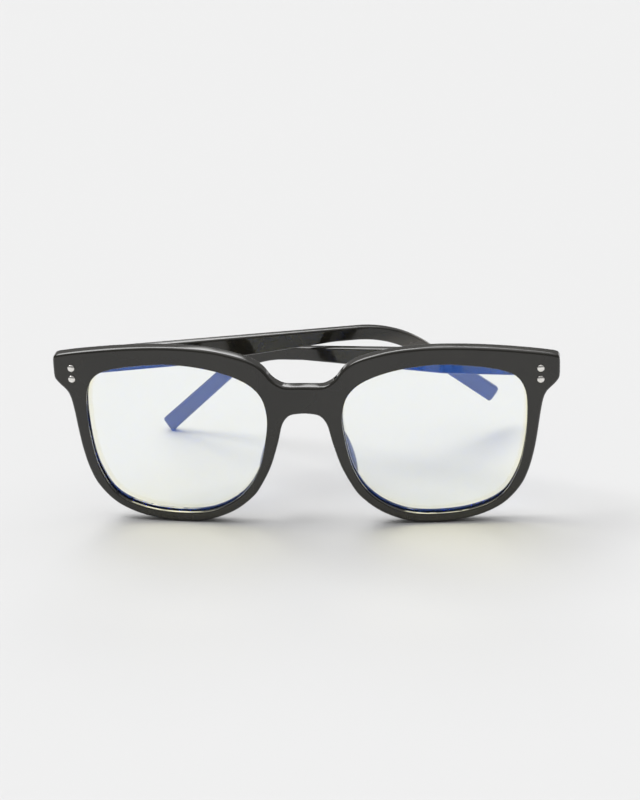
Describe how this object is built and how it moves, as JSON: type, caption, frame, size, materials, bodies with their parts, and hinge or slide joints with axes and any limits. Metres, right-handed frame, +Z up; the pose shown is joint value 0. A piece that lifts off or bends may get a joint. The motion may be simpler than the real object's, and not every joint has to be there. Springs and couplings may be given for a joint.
{
  "type": "glasses",
  "caption": "Folding spectacles with a glossy black square front, clear blue-coated lenses and two hinged black temples, standing folded.",
  "frame": {"origin": "on the table, under the centre of the folded glasses' box", "axes": "+X to the side that is on the right when seen from the front, +Y backwards from the front, +Z up"},
  "size_m": [0.1402, 0.0732, 0.0521],
  "materials": {
    "front_black": "polished, glossy black",
    "temple_black": "polished, glossy black",
    "lens": "clear, with a blue-reflecting coating",
    "rivet_steel": "bright, slightly soft domed heads",
    "steel": "satin"
  },
  "bodies": {
    "front": {"front_frame": "front_black", "lens_left": "lens", "nose_pad_left": "front_black", "front_hinge_leaf_left": "steel", "front_rivet_left_lower": "rivet_steel", "front_rivet_left_upper": "rivet_steel", "hinge_screw_left": "steel", "lens_right": "lens", "nose_pad_right": "front_black", "front_hinge_leaf_right": "steel", "front_rivet_right_lower": "rivet_steel", "front_rivet_right_upper": "rivet_steel", "hinge_screw_right": "steel"},
    "temple_left": {"temple_left": "temple_black", "temple_core_left": "steel", "temple_hinge_leaf_left": "steel", "temple_rivet_left_lower": "rivet_steel", "temple_rivet_left_upper": "rivet_steel"},
    "temple_right": {"temple_right": "temple_black", "temple_core_right": "steel", "temple_hinge_leaf_right": "steel", "temple_rivet_right_lower": "rivet_steel", "temple_rivet_right_upper": "rivet_steel"}
  },
  "joints": [
    {"name": "temple_left_hinge", "type": "hinge", "parent": "front", "child": "temple_left", "pos_m": [-0.0642, -0.02665, 0.04337], "axis": [-0.0384, 0.0049, 0.9993], "range_deg": [-3, 66.2]},
    {"name": "temple_right_hinge", "type": "hinge", "parent": "front", "child": "temple_right", "pos_m": [0.0642, -0.02665, 0.04337], "axis": [-0.0384, 0.0049, 0.9993], "range_deg": [-63.2, 2.9]}
  ],
  "couplings": [
    {"joint": "temple_right_hinge", "follows": "temple_left_hinge", "ratio": -0.95468}
  ]
}
